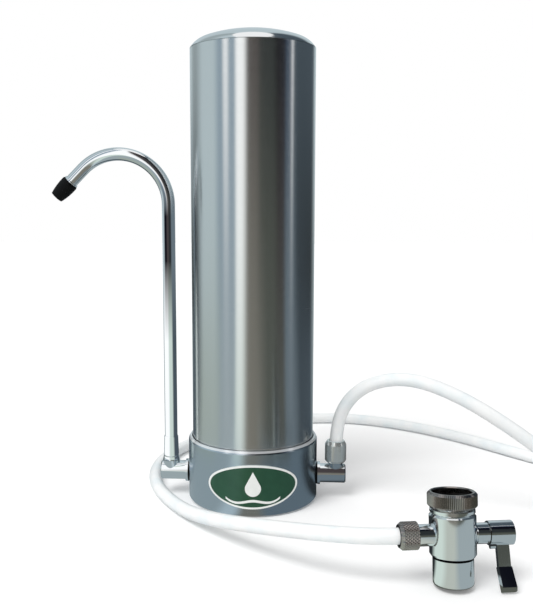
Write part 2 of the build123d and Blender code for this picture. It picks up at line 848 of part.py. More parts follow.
# Compression nut on the hose stub
hose_nut_start = stub_end + 0.2
stub_profile = Plane(origin=port_centre, x_dir=-valve_side, z_dir=valve_base.y_dir)
stub_axis = Axis(port_centre, valve_side)
with BuildPart() as diverter_hose_nut:
    with BuildSketch(stub_profile):
        with BuildLine():
            Polyline(
                (hose_nut_start, hose_nut_thread + 0.1),
                (hose_nut_start, hose_nut_radius - 0.5),
                (hose_nut_start + 0.5, hose_nut_radius),
                (hose_nut_end - 2.0, hose_nut_radius),
                (hose_nut_end, hose_nut_radius - 1.6),
                (hose_nut_end, hose_radius + 0.1),
                (hose_nut_end - 2.0, hose_radius + 0.1),
                (hose_nut_end - 3.2, hose_nut_thread + 0.1),
                close=True,
            )
        make_face()
    revolve(axis=stub_axis)
save(diverter_hose_nut, "diverter_hose_nut")

# Ferrule squeezed on the hose inside that nut
with BuildPart() as diverter_ferrule:
    with BuildSketch(valve_port.offset(-(hose_nut_end - 2.4))):
        Circle(hose_radius + 0.5)
        Circle(hose_radius, mode=Mode.SUBTRACT)
    extrude(amount=hose_nut_end - 2.4 - valve_hose_seat - 2.1)
save(diverter_ferrule, "diverter_ferrule")

# Gland that the diverter spindle turns in
with BuildPart() as spindle_gland:
    with BuildSketch(valve_port.offset(valve_bore + 1.5)):
        Circle(shank_radius)
    extrude(amount=valve_radius - valve_bore - 1.5)
    with BuildSketch(valve_port.offset(valve_radius)):
        Circle(gland_radius)
    extrude(amount=gland_end - valve_radius)
    with BuildSketch(valve_port.offset(valve_bore + 1.5)):
        Circle(spindle_radius + 0.15)
    extrude(amount=gland_end, mode=Mode.SUBTRACT)
save(spindle_gland, "spindle_gland")

# Spindle with grooves for its seals
spindle_rings = (11.0, 16.0)
spindle_profile = Plane(origin=port_centre, x_dir=valve_side, z_dir=-valve_base.y_dir)
with BuildPart() as spindle:
    with BuildSketch(valve_port.offset(-valve_bore + 2)):
        Circle(spindle_radius)
    extrude(amount=hub_end - 4 + valve_bore - 2)
    with BuildSketch(spindle_profile):
        for place in spindle_rings:
            with Locations((place, spindle_groove + 1)):
                Rectangle(1.4, 2)
    revolve(axis=stub_axis, mode=Mode.SUBTRACT)
    with BuildSketch(valve_port.offset(hub_end - 4)):
        Circle(1.5)
    extrude(amount=-8, mode=Mode.SUBTRACT)
    with BuildSketch(valve_base.offset(valve_port_height)):
        Circle(2.2)
    extrude(amount=8, both=True, mode=Mode.SUBTRACT)
save(spindle, "spindle")

# Seals on the spindle
for number, place in enumerate(spindle_rings, 1):
    with BuildPart() as spindle_o_ring:
        with BuildSketch(spindle_profile):
            with Locations((place, spindle_groove + 0.5)):
                Circle(0.5)
        revolve(axis=stub_axis)
    save(spindle_o_ring, f"spindle_o_ring_{number}")

# Lever with its neck, paddle, hub and stop lug
with BuildPart() as diverter_lever:
    with BuildSketch(lever_side.offset(lever_centre - paddle_tip_width / 2)):
        with Locations((0, -lever_neck_length)):
            Rectangle(paddle_thickness, paddle_length, rotation=-paddle_lean, align=(Align.CENTER, Align.MAX))
    extrude(amount=paddle_tip_width)
    toe_edges = diverter_lever.edges().filter_by(stub_axis).sort_by(Axis.Z)[:2]
    chamfer(toe_edges.sort_by(Axis(port_centre, valve_back))[0], paddle_chamfer)
    with BuildSketch(lever_face):
        with BuildLine():
            Polyline(
                (lever_centre - paddle_root_width / 2, -lever_neck_length),
                (lever_centre - paddle_tip_width / 2, -lever_neck_length - paddle_length),
                (lever_centre + paddle_tip_width / 2, -lever_neck_length - paddle_length),
                (lever_centre + paddle_root_width / 2, -lever_neck_length),
                close=True,
            )
        make_face()
    extrude(amount=40, both=True, mode=Mode.INTERSECT)
    with BuildSketch(lever_side.offset(lever_centre - lever_neck_width / 2)):
        Rectangle(lever_neck_thickness, lever_neck_length + 1, align=(Align.CENTER, Align.MAX))
    extrude(amount=lever_neck_width)
    with BuildSketch(lever_side.offset(hub_start)):
        Circle(hub_radius)
    extrude(amount=hub_end - hub_start)
    with BuildSketch(lever_side.offset(hub_start)):
        with Locations((-1.5, -hub_radius - 0.2)):
            Circle(1.6)
    extrude(amount=3)
    with BuildSketch(lever_side.offset(hub_start)):
        Circle(spindle_radius)
    extrude(amount=hub_end - 4 - hub_start, mode=Mode.SUBTRACT)
    with BuildSketch(lever_side.offset(hub_end - 4)):
        Circle(1.8)
    extrude(amount=4, mode=Mode.SUBTRACT)
    with BuildSketch(lever_side.offset(hub_end - 2.2)):
        Circle(3.4)
    extrude(amount=3, mode=Mode.SUBTRACT)
save(diverter_lever, "diverter_lever")

# Screw that holds the lever on the spindle
with BuildPart() as lever_screw:
    with BuildSketch(valve_port.offset(hub_end - 2.2)):
        Circle(3.1)
    extrude(amount=1.8)
    with BuildSketch(valve_port.offset(hub_end - 2.2)):
        Circle(1.5)
    extrude(amount=-9)
    with BuildSketch(valve_port.offset(hub_end - 0.4)):
        Rectangle(0.8, 7)
    extrude(amount=-0.8, mode=Mode.SUBTRACT)
save(lever_screw, "lever_screw")
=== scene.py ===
import bpy
import json
from math import atan2, hypot, pi, radians
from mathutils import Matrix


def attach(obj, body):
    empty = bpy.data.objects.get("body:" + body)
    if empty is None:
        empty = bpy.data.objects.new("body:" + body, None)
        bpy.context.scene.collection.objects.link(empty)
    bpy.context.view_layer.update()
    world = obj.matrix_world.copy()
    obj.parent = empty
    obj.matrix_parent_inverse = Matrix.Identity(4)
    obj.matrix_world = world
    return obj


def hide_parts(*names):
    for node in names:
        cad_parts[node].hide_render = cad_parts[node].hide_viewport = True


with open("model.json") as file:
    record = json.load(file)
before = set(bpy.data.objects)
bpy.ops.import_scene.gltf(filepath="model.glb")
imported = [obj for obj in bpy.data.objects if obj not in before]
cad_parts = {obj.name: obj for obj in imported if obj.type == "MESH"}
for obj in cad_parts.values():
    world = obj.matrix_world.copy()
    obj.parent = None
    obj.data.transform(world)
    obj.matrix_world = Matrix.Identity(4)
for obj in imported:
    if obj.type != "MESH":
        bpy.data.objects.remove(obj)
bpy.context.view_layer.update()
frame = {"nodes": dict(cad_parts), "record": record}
print("frame loaded", len(frame["nodes"]), "nodes")

samePlace = 1e-6  # metres within which two points count as one
smoothBelow = 22  # degrees, edges that turn less than this are shaded smooth


def mm(value):
    return value / 1000


def perMetre(size):
    return 1000 / size  # how often a pattern of this size in mm fits into a metre


def hexColour(code):
    channels = [int(code[i:i + 2], 16) / 255 for i in (1, 3, 5)]
    linear = [c / 12.92 if c <= 0.04045 else ((c + 0.055) / 1.055) ** 2.4 for c in channels]
    return (*linear, 1)


def addNode(material, kind, settings=None, values=None, links=None):
    node = material.node_tree.nodes.new(kind)
    for name, value in (settings or {}).items():
        setattr(node, name, value)
    for socket, value in (values or {}).items():
        node.inputs[socket].default_value = value
    for socket, source in (links or {}).items():
        material.node_tree.links.new(source, node.inputs[socket])
    return node


def newMaterial(name):
    material = bpy.data.materials.new(name)
    material.use_nodes = True
    return material, material.node_tree.nodes["Principled BSDF"]


def setShader(shader, values):
    for socket, value in values.items():
        shader.inputs[socket].default_value = value


def linkShader(material, shader, socket, source):
    material.node_tree.links.new(source, shader.inputs[socket])


# camera stands where the photograph was taken, a little to the right of the badge
view = {
    "place": (0.0416, -0.5949, 0.2165), "tilt": 83.02, "turn": 4.0, "lens": 48.45, "shift": 0.0223,
    "nearest": 0.01,
}
cameraData = bpy.data.cameras.new("camera")
cameraData.lens = view["lens"]
cameraData.shift_x = view["shift"]
cameraData.clip_start = view["nearest"]
camera = bpy.data.objects.new("camera", cameraData)
camera.location = view["place"]
camera.rotation_euler = (radians(view["tilt"]), 0, radians(view["turn"]))
bpy.context.scene.collection.objects.link(camera)
bpy.context.scene.camera = camera

# milky hose from the inlet elbow, round behind the housing, to the diverter
hose = {
    "diameter": 0.0095,
    "length": 1.1071,
    "exit": (0.0615, 0, 0.043),
    "stepsAlong": 10,
    "stepsRound": 7,
    "route": [
        (0.0615, 0, 0.031),
        (0.0615, 0, 0.051),
        (0.068, -0.004, 0.073),
        (0.085, -0.013, 0.090),
        (0.113, -0.023, 0.096),
        (0.146, -0.032, 0.085),
        (0.178, -0.037, 0.066),
        (0.209, -0.034, 0.043),
        (0.238, -0.020, 0.021),
        (0.256, 0.009, 0.007),
        (0.260, 0.042, 0.005),
        (0.246, 0.075, 0.005),
        (0.220, 0.102, 0.005),
        (0.180, 0.150, 0.005),
        (0.130, 0.191, 0.005),
        (0.070, 0.213, 0.005),
        (0.008, 0.196, 0.005),
        (-0.040, 0.150, 0.005),
        (-0.071, 0.097, 0.005),
        (-0.083, 0.048, 0.005),
        (-0.074, -0.002, 0.005),
        (-0.047, -0.048, 0.005),
        (-0.022, -0.079, 0.011),
        (0.004, -0.106, 0.0185),
        (0.036, -0.131, 0.026),
        (0.057, -0.1415, 0.0288),
        (0.0815, -0.1458, 0.0298),
        (0.0993, -0.1430, 0.0298),
    ],
}
hoseCurve = bpy.data.curves.new("milkyHose", "CURVE")
hoseCurve.dimensions = "3D"
hoseCurve.resolution_u = hose["stepsAlong"]
hoseCurve.bevel_depth = 1  # each point's radius is the hose's own
hoseCurve.bevel_resolution = hose["stepsRound"]
hoseCurve.use_fill_caps = True
hoseLine = hoseCurve.splines.new("NURBS")
hoseLine.points.add(len(hose["route"]) - 1)
for point, place in zip(hoseLine.points, hose["route"]):
    point.co = (*place, 1)
    point.radius = hose["diameter"] / 2
hoseLine.order_u = 3
hoseLine.use_endpoint_u = True
hosePiece = bpy.data.objects.new("milkyHose", hoseCurve)
bpy.context.scene.collection.objects.link(hosePiece)
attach(hosePiece, "base")
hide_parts("feed_hose")
hosePiece.visible_glossy = False  # the metal's reflections stay clean
print("hose laid")


def turnRing(name, sides, outline):
    # turned ring: a tube from the first two points of the outline, drawn on from loop to loop and closed
    (firstRadius, firstHeight), (nextRadius, nextHeight) = outline[:2]
    bpy.ops.object.select_all(action="DESELECT")
    bpy.ops.mesh.primitive_cone_add(
        vertices=sides, radius1=mm(firstRadius), radius2=mm(nextRadius), depth=mm(nextHeight - firstHeight),
        end_fill_type="NOTHING", location=(0, 0, mm(firstHeight + nextHeight) / 2),
    )
    ring = bpy.context.object
    ring.name = name
    bpy.ops.object.transform_apply(location=True, rotation=False, scale=False)
    bpy.ops.object.mode_set(mode="EDIT")
    bpy.ops.mesh.select_mode(type="EDGE")
    bpy.ops.mesh.select_all(action="DESELECT")
    bpy.ops.object.mode_set(mode="OBJECT")
    top = max(vertex.co.z for vertex in ring.data.vertices)
    for edge in ring.data.edges:
        edge.select = all(ring.data.vertices[v].co.z > top - samePlace for v in edge.vertices)
    bpy.ops.object.mode_set(mode="EDIT")
    lastRadius, lastHeight = nextRadius, nextHeight
    for radius, height in outline[2:] + outline[:1]:
        bpy.ops.mesh.extrude_region_move(TRANSFORM_OT_translate={"value": (0, 0, mm(height - lastHeight))})
        grow = radius / lastRadius
        bpy.ops.transform.resize(value=(grow, grow, 1), center_override=(0, 0, mm(height)))
        lastRadius, lastHeight = radius, height
    bpy.ops.mesh.select_all(action="SELECT")
    bpy.ops.mesh.remove_doubles(threshold=samePlace)
    bpy.ops.mesh.normals_make_consistent(inside=False)
    bpy.ops.object.mode_set(mode="OBJECT")
    return ring


def pressColumns(ring, sides, chosen, depth):
    # draws the chosen vertices of a ring's side towards its axis
    bpy.ops.object.mode_set(mode="EDIT")
    bpy.ops.mesh.select_mode(type="VERT")
    bpy.ops.mesh.select_all(action="DESELECT")
    bpy.ops.object.mode_set(mode="OBJECT")
    outer = max(hypot(vertex.co.x, vertex.co.y) for vertex in ring.data.vertices)
    for vertex in ring.data.vertices:
        column = round(atan2(vertex.co.y, vertex.co.x) / (2 * pi) * sides + sides)
        onSide = hypot(vertex.co.x, vertex.co.y) > outer - samePlace
        vertex.select = onSide and chosen(column, vertex.co.z * 1000)
    bpy.ops.object.mode_set(mode="EDIT")
    press = 1 - mm(depth) / outer
    bpy.ops.transform.resize(value=(press, press, 1), center_override=(0, 0, 0))
    bpy.ops.object.mode_set(mode="OBJECT")


def seat(piece, place, turn):
    # puts a turned piece on its axis and leaves its object at the origin
    bpy.ops.object.select_all(action="DESELECT")
    piece.select_set(True)
    bpy.context.view_layer.objects.active = piece
    piece.rotation_euler = turn
    piece.location = place
    bpy.ops.object.transform_apply(location=True, rotation=True, scale=True)
    bpy.ops.object.shade_smooth_by_angle(angle=radians(smoothBelow))


# where the diverter stands: its foot, the middle of its barrel at the ports, and its axis, which leans back
diverter = {
    "foot": (0.1246, -0.1430, 0.0015), "port": (0.12398, -0.13907, 0.02982), "up": (-0.0218, 0.1375, 0.9903),
    "lean": 8.0, "turn": 9.0,
}

# faucet nut on the diverter, with straight knurling round its side
faucetNut = {
    "ridges": 84, "ridgeDepth": 0.4,
    "outline": [
        (14.2, 45.6), (14.2, 51.8), (12.8, 53.2), (12.0, 53.2), (11.4, 52.6), (11.4, 48.8), (12.0, 48.8),
        (12.0, 46.1), (10.2, 46.1), (10.2, 44.4), (13.0, 44.4),
    ],
}
nutSides = 2 * faucetNut["ridges"]
nutPiece = turnRing("faucetNut", nutSides, faucetNut["outline"])
pressColumns(nutPiece, nutSides, lambda column, height: column % 2 == 0, faucetNut["ridgeDepth"])
seat(nutPiece, diverter["foot"], (-radians(diverter["lean"]), 0, radians(diverter["turn"])))
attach(nutPiece, "faucet_nut")
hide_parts("swivel_nut")

# hose nut on the diverter, with diamond knurling
hoseNut = {
    "ridges": 28, "rows": 8, "ridgeDepth": 0.45, "radius": 8.1, "sideFrom": 21.3, "sideTo": 29.6,
    "rest": [(6.5, 31.6), (4.85, 31.6), (4.85, 29.6), (6.6, 28.4), (6.6, 20.8), (7.6, 20.8)],
}
rowHeight = (hoseNut["sideTo"] - hoseNut["sideFrom"]) / hoseNut["rows"]
sideRows = [(hoseNut["radius"], hoseNut["sideFrom"] + rowHeight * row) for row in range(hoseNut["rows"] + 1)]
hoseNutSides = 2 * hoseNut["ridges"]
hoseNutPiece = turnRing("hoseNut", hoseNutSides, sideRows + hoseNut["rest"])
pressColumns(
    hoseNutPiece, hoseNutSides,
    lambda column, height: (column + round((height - hoseNut["sideFrom"]) / rowHeight)) % 2 == 0,
    hoseNut["ridgeDepth"],
)
bpy.ops.object.mode_set(mode="EDIT")
bpy.ops.mesh.select_all(action="SELECT")
bpy.ops.mesh.quads_convert_to_tris(quad_method="SHORTEST_DIAGONAL")
bpy.ops.object.mode_set(mode="OBJECT")
seat(hoseNutPiece, diverter["port"], (0, -pi / 2, radians(diverter["turn"])))
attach(hoseNutPiece, "base")
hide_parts("diverter_hose_nut")
print("nuts knurled")

# brushed stainless tube: rings from the grinding belt keep reflections crisp across and long along it
# the rings are drawn 0.8 mm apart, coarser than the real 0.1 mm, so that they show
brushed = {
    "colour": "#e6e8e8", "ringSpacing": 0.8, "wavesPerMetre": 6, "detail": 4.0, "ragged": 0.6,
    "smooth": 0.2, "rough": 0.3, "bump": 0.06, "bumpDepth": 0.1, "stretch": 0.92, "stretchTurn": 0.25,
}
brushedSteel, shader = newMaterial("brushedStainless")
setShader(shader, {
    "Base Color": hexColour(brushed["colour"]), "Metallic": 1.0,
    "Anisotropic": brushed["stretch"], "Anisotropic Rotation": brushed["stretchTurn"],
})
coords = addNode(brushedSteel, "ShaderNodeTexCoord")
ringScale = addNode(
    brushedSteel, "ShaderNodeMapping",
    values={"Scale": (
        brushed["wavesPerMetre"], brushed["wavesPerMetre"], perMetre(brushed["ringSpacing"]),
    )},
    links={"Vector": coords.outputs["Object"]},
)
rings = addNode(
    brushedSteel, "ShaderNodeTexNoise",
    values={"Scale": 1.0, "Detail": brushed["detail"], "Roughness": brushed["ragged"]},
    links={"Vector": ringScale.outputs["Vector"]},
)
ringRough = addNode(
    brushedSteel, "ShaderNodeMapRange", values={"To Min": brushed["smooth"], "To Max": brushed["rough"]},
    links={"Value": rings.outputs["Fac"]},
)
ringBump = addNode(
    brushedSteel, "ShaderNodeBump",
    values={"Strength": brushed["bump"], "Distance": mm(brushed["bumpDepth"])},
    links={"Height": rings.outputs["Fac"]},
)
around = addNode(brushedSteel, "ShaderNodeTangent", {"direction_type": "RADIAL", "axis": "Z"})
linkShader(brushedSteel, shader, "Roughness", ringRough.outputs["Result"])
linkShader(brushedSteel, shader, "Normal", ringBump.outputs["Normal"])
linkShader(brushedSteel, shader, "Tangent", around.outputs["Tangent"])


def mottledMetal(name, finish):
    # bare or plated metal whose roughness wanders from smooth to rough in patches of the finish's size
    metal, shader = newMaterial(name)
    setShader(shader, {"Base Color": hexColour(finish["colour"]), "Metallic": finish["metallic"]})
    coords = addNode(metal, "ShaderNodeTexCoord")
    patches = addNode(
        metal, "ShaderNodeTexNoise", values={"Scale": perMetre(finish["patch"]), "Detail": finish["detail"]},
        links={"Vector": coords.outputs["Object"]},
    )
    patchRough = addNode(
        metal, "ShaderNodeMapRange", values={"To Min": finish["smooth"], "To Max": finish["rough"]},
        links={"Value": patches.outputs["Fac"]},
    )
    linkShader(metal, shader, "Roughness", patchRough.outputs["Result"])
    return metal


# polished stainless dome: buffed bright, with soft haze where the mop passed
domeFinish = {
    "colour": "#eceeef", "metallic": 1.0, "patch": 14, "detail": 5.0, "smooth": 0.06, "rough": 0.15,
}
polishedSteel = mottledMetal("polishedStainless", domeFinish)

# polished chrome plate: mirror bright, with faint wiping marks
chromeFinish = {
    "colour": "#eceff1", "metallic": 1.0, "patch": 9, "detail": 4.0, "smooth": 0.04, "rough": 0.11,
}
chromePlate = mottledMetal("polishedChromePlate", chromeFinish)

# chrome over knurling: its small facets turn half of the light away, so it looks greyer and warmer
knurlFinish = {
    "colour": "#a59e9a", "metallic": 1.0, "patch": 3, "detail": 3.0, "smooth": 0.12, "rough": 0.24,
}
knurledChrome = mottledMetal("knurledChromePlate", knurlFinish)

# satin chrome on cast brass: plated over a fine blasted skin, so its reflections are soft and milky
# the skin's grain is drawn 0.7 mm wide, coarser than the real one, so that it shows
satinFinish = {
    "colour": "#eff2ee", "metallic": 0.8, "patch": 0.7, "detail": 3.0, "smooth": 0.17, "rough": 0.27,
}
satinChrome = mottledMetal("satinChromePlate", satinFinish)

# the diverter's chrome: the same plate, with painted shade: a dark band round the joint between its barrel
# and its outlet collar, standing in for the shadow under the barrel's overhang
jointShadow = {"belowPort": 12.5, "half": 0.8, "dark": "#141517"}
chromeWithJointShadow = chromePlate.copy()
chromeWithJointShadow.name = "chromePlateWithPaintedJointShadow"
shader = chromeWithJointShadow.node_tree.nodes["Principled BSDF"]
coords = addNode(chromeWithJointShadow, "ShaderNodeTexCoord")
fromPort = addNode(
    chromeWithJointShadow, "ShaderNodeVectorMath", {"operation": "SUBTRACT"}, {1: diverter["port"]},
    {0: coords.outputs["Object"]},
)
along = addNode(
    chromeWithJointShadow, "ShaderNodeVectorMath", {"operation": "DOT_PRODUCT"}, {1: diverter["up"]},
    {0: fromPort.outputs[0]},
)
# painted shade: the band across the joint where the chrome turns dark
jointShadowBand = addNode(
    chromeWithJointShadow, "ShaderNodeMath", {"operation": "COMPARE"},
    {1: -mm(jointShadow["belowPort"]), 2: mm(jointShadow["half"])}, {0: along.outputs["Value"]},
)
jointShadowColour = addNode(
    chromeWithJointShadow, "ShaderNodeMix", {"data_type": "RGBA"},
    {6: hexColour(chromeFinish["colour"]), 7: hexColour(jointShadow["dark"])}, {0: jointShadowBand.outputs[0]},
)
linkShader(chromeWithJointShadow, shader, "Base Color", jointShadowColour.outputs[2])

# satin steel base: bead blasted to a soft blue grey sheen, with a smoother turned rim whose bright line is
# partly painted highlight, paler and less metallic than the rest
# the grit is drawn 0.6 mm wide, coarser than the real one, so that it shows
baseFinish = {
    "blasted": "#cdd7de", "bright": "#eef1f3", "grit": 0.6, "smooth": 0.17, "rough": 0.3, "bump": 0.05,
    "bumpDepth": 0.2, "rimFrom": 45.7, "rimRough": 0.2, "rimHighlightMetallic": 0.55,
}
satinSteel, shader = newMaterial("satinSteel")
coords = addNode(satinSteel, "ShaderNodeTexCoord")
height = addNode(satinSteel, "ShaderNodeSeparateXYZ", links={"Vector": coords.outputs["Object"]})
rim = addNode(
    satinSteel, "ShaderNodeMath", {"operation": "GREATER_THAN"}, {1: mm(baseFinish["rimFrom"])},
    {0: height.outputs["Z"]},
)
grit = addNode(
    satinSteel, "ShaderNodeTexNoise", values={"Scale": perMetre(baseFinish["grit"]), "Detail": 3.0},
    links={"Vector": coords.outputs["Object"]},
)
gritRough = addNode(
    satinSteel, "ShaderNodeMapRange", values={"To Min": baseFinish["smooth"], "To Max": baseFinish["rough"]},
    links={"Value": grit.outputs["Fac"]},
)
rimRough = addNode(
    satinSteel, "ShaderNodeMix", {"data_type": "FLOAT"}, {"B": baseFinish["rimRough"]},
    {"Factor": rim.outputs[0], "A": gritRough.outputs["Result"]},
)
# painted highlight: above the rim's height the colour turns paler
baseColourWithRimHighlight = addNode(
    satinSteel, "ShaderNodeMix", {"data_type": "RGBA"},
    {6: hexColour(baseFinish["blasted"]), 7: hexColour(baseFinish["bright"])}, {0: rim.outputs[0]},
)
gritBump = addNode(
    satinSteel, "ShaderNodeBump",
    values={"Strength": baseFinish["bump"], "Distance": mm(baseFinish["bumpDepth"])},
    links={"Height": grit.outputs["Fac"]},
)
# painted highlight: less metal on the rim, so it shows paler under any light
rimHighlightMetal = addNode(
    satinSteel, "ShaderNodeMapRange", values={"To Min": 1.0, "To Max": baseFinish["rimHighlightMetallic"]},
    links={"Value": rim.outputs[0]},
)
linkShader(satinSteel, shader, "Base Color", baseColourWithRimHighlight.outputs[2])
linkShader(satinSteel, shader, "Metallic", rimHighlightMetal.outputs["Result"])
linkShader(satinSteel, shader, "Roughness", rimRough.outputs[0])
linkShader(satinSteel, shader, "Normal", gritBump.outputs["Normal"])

# rolled steel of the bottom plate, screws and clip: grey, with a faint grain
rolledFinish = {"dark": "#8f9395", "pale": "#b9bcbd", "grain": 2.0, "grainLength": 25, "rough": 0.34}
rolledSteel, shader = newMaterial("rolledSteel")
setShader(shader, {"Metallic": 1.0, "Roughness": rolledFinish["rough"]})
coords = addNode(rolledSteel, "ShaderNodeTexCoord")
grainLength = perMetre(rolledFinish["grainLength"])
rolling = addNode(
    rolledSteel, "ShaderNodeMapping",
    values={"Scale": (perMetre(rolledFinish["grain"]), grainLength, grainLength)},
    links={"Vector": coords.outputs["Object"]},
)
rollMarks = addNode(
    rolledSteel, "ShaderNodeTexNoise", values={"Scale": 1.0, "Detail": 4.0},
    links={"Vector": rolling.outputs["Vector"]},
)
rollColour = addNode(rolledSteel, "ShaderNodeValToRGB", links={"Fac": rollMarks.outputs["Fac"]})
rollColour.color_ramp.elements[0].color = hexColour(rolledFinish["dark"])
rollColour.color_ramp.elements[1].color = hexColour(rolledFinish["pale"])
linkShader(rolledSteel, shader, "Base Color", rollColour.outputs["Color"])

# turned brass of spindle and ferrules: yellow, with fine lathe rings, drawn 0.5 mm apart so that they show
brassFinish = {"dark": "#b8944e", "pale": "#e0c686", "rings": 0.5, "ringLength": 50, "rough": 0.24}
turnedBrass, shader = newMaterial("turnedBrass")
setShader(shader, {"Metallic": 1.0, "Roughness": brassFinish["rough"]})
coords = addNode(turnedBrass, "ShaderNodeTexCoord")
ringLength = perMetre(brassFinish["ringLength"])
lathe = addNode(
    turnedBrass, "ShaderNodeMapping",
    values={"Scale": (perMetre(brassFinish["rings"]), ringLength, ringLength)},
    links={"Vector": coords.outputs["Object"]},
)
latheRings = addNode(
    turnedBrass, "ShaderNodeTexNoise", values={"Scale": 1.0, "Detail": 2.0},
    links={"Vector": lathe.outputs["Vector"]},
)
brassColour = addNode(turnedBrass, "ShaderNodeValToRGB", links={"Fac": latheRings.outputs["Fac"]})
brassColour.color_ramp.elements[0].color = hexColour(brassFinish["dark"])
brassColour.color_ramp.elements[1].color = hexColour(brassFinish["pale"])
linkShader(turnedBrass, shader, "Base Color", brassColour.outputs["Color"])

# milky polyethylene hose: light soaks a little way in, and the wall is faintly cloudy
hoseFinish = {
    "clear": "#eef4f6", "cloud": "#fbfdfc", "clouds": 16, "cloudEdges": (0.35, 0.65), "rough": 0.3,
    "ior": 1.51, "soak": 0.4, "soakDepth": 3.0,
}
milkyTube, shader = newMaterial("milkyPolyethylene")
setShader(shader, {
    "Roughness": hoseFinish["rough"], "IOR": hoseFinish["ior"], "Subsurface Weight": hoseFinish["soak"],
    "Subsurface Scale": mm(hoseFinish["soakDepth"]), "Subsurface Radius": (1.0, 1.0, 1.0),
})
coords = addNode(milkyTube, "ShaderNodeTexCoord")
clouds = addNode(
    milkyTube, "ShaderNodeTexNoise", values={"Scale": perMetre(hoseFinish["clouds"]), "Detail": 3.0},
    links={"Vector": coords.outputs["Object"]},
)
cloudColour = addNode(milkyTube, "ShaderNodeValToRGB", links={"Fac": clouds.outputs["Fac"]})
cloudColour.color_ramp.elements[0].position = hoseFinish["cloudEdges"][0]
cloudColour.color_ramp.elements[1].position = hoseFinish["cloudEdges"][1]
cloudColour.color_ramp.elements[0].color = hexColour(hoseFinish["clear"])
cloudColour.color_ramp.elements[1].color = hexColour(hoseFinish["cloud"])
linkShader(milkyTube, shader, "Base Color", cloudColour.outputs["Color"])

# black moulded rubber: matt, with a dusty bloom and a fine grain, drawn 0.5 mm wide so that it shows
rubberFinish = {
    "deep": "#040404", "bloom": "#0b0b0c", "grain": 0.5, "rough": 0.6, "ior": 1.52, "shine": 0.2,
    "bump": 0.25, "bumpDepth": 0.1,
}
blackRubber, shader = newMaterial("blackRubber")
setShader(shader, {
    "Roughness": rubberFinish["rough"], "IOR": rubberFinish["ior"],
    "Specular IOR Level": rubberFinish["shine"],
})
coords = addNode(blackRubber, "ShaderNodeTexCoord")
rubberGrain = addNode(
    blackRubber, "ShaderNodeTexNoise", values={"Scale": perMetre(rubberFinish["grain"]), "Detail": 4.0},
    links={"Vector": coords.outputs["Object"]},
)
rubberColour = addNode(blackRubber, "ShaderNodeValToRGB", links={"Fac": rubberGrain.outputs["Fac"]})
rubberColour.color_ramp.elements[0].color = hexColour(rubberFinish["deep"])
rubberColour.color_ramp.elements[1].color = hexColour(rubberFinish["bloom"])
rubberBump = addNode(
    blackRubber, "ShaderNodeBump",
    values={"Strength": rubberFinish["bump"], "Distance": mm(rubberFinish["bumpDepth"])},
    links={"Height": rubberGrain.outputs["Fac"]},
)
linkShader(blackRubber, shader, "Base Color", rubberColour.outputs["Color"])
linkShader(blackRubber, shader, "Normal", rubberBump.outputs["Normal"])

# white moulded polypropylene of the cartridge caps: even white with a light orange peel
capFinish = {
    "shade": "#dfe2e0", "white": "#eff1ef", "peel": 1.4, "rough": 0.4, "ior": 1.49, "bump": 0.08,
    "bumpDepth": 0.2,
}
whitePlastic, shader = newMaterial("whitePolypropylene")
setShader(shader, {"Roughness": capFinish["rough"], "IOR": capFinish["ior"]})
coords = addNode(whitePlastic, "ShaderNodeTexCoord")
peel = addNode(
    whitePlastic, "ShaderNodeTexNoise", values={"Scale": perMetre(capFinish["peel"]), "Detail": 2.0},
    links={"Vector": coords.outputs["Object"]},
)
capColour = addNode(whitePlastic, "ShaderNodeValToRGB", links={"Fac": peel.outputs["Fac"]})
capColour.color_ramp.elements[0].color = hexColour(capFinish["shade"])
capColour.color_ramp.elements[1].color = hexColour(capFinish["white"])
peelBump = addNode(
    whitePlastic, "ShaderNodeBump",
    values={"Strength": capFinish["bump"], "Distance": mm(capFinish["bumpDepth"])},
    links={"Height": peel.outputs["Fac"]},
)
linkShader(whitePlastic, shader, "Base Color", capColour.outputs["Color"])
linkShader(whitePlastic, shader, "Normal", peelBump.outputs["Normal"])

# pressed carbon block: black grains bound together
carbonFinish = {
    "pit": "#0c0c0d", "grain": "#333335", "grainSize": 0.9, "rough": 0.85, "bump": 0.6, "bumpDepth": 0.3,
}
carbonBlock, shader = newMaterial("pressedCarbon")
setShader(shader, {"Roughness": carbonFinish["rough"]})
coords = addNode(carbonBlock, "ShaderNodeTexCoord")
grains = addNode(
    carbonBlock, "ShaderNodeTexVoronoi", values={"Scale": perMetre(carbonFinish["grainSize"])},
    links={"Vector": coords.outputs["Object"]},
)
carbonColour = addNode(carbonBlock, "ShaderNodeValToRGB", links={"Fac": grains.outputs["Distance"]})
carbonColour.color_ramp.elements[0].color = hexColour(carbonFinish["grain"])
carbonColour.color_ramp.elements[1].color = hexColour(carbonFinish["pit"])
grainBump = addNode(
    carbonBlock, "ShaderNodeBump", {"invert": True},
    {"Strength": carbonFinish["bump"], "Distance": mm(carbonFinish["bumpDepth"])},
    {"Height": grains.outputs["Distance"]},
)
linkShader(carbonBlock, shader, "Base Color", carbonColour.outputs["Color"])
linkShader(carbonBlock, shader, "Normal", grainBump.outputs["Normal"])

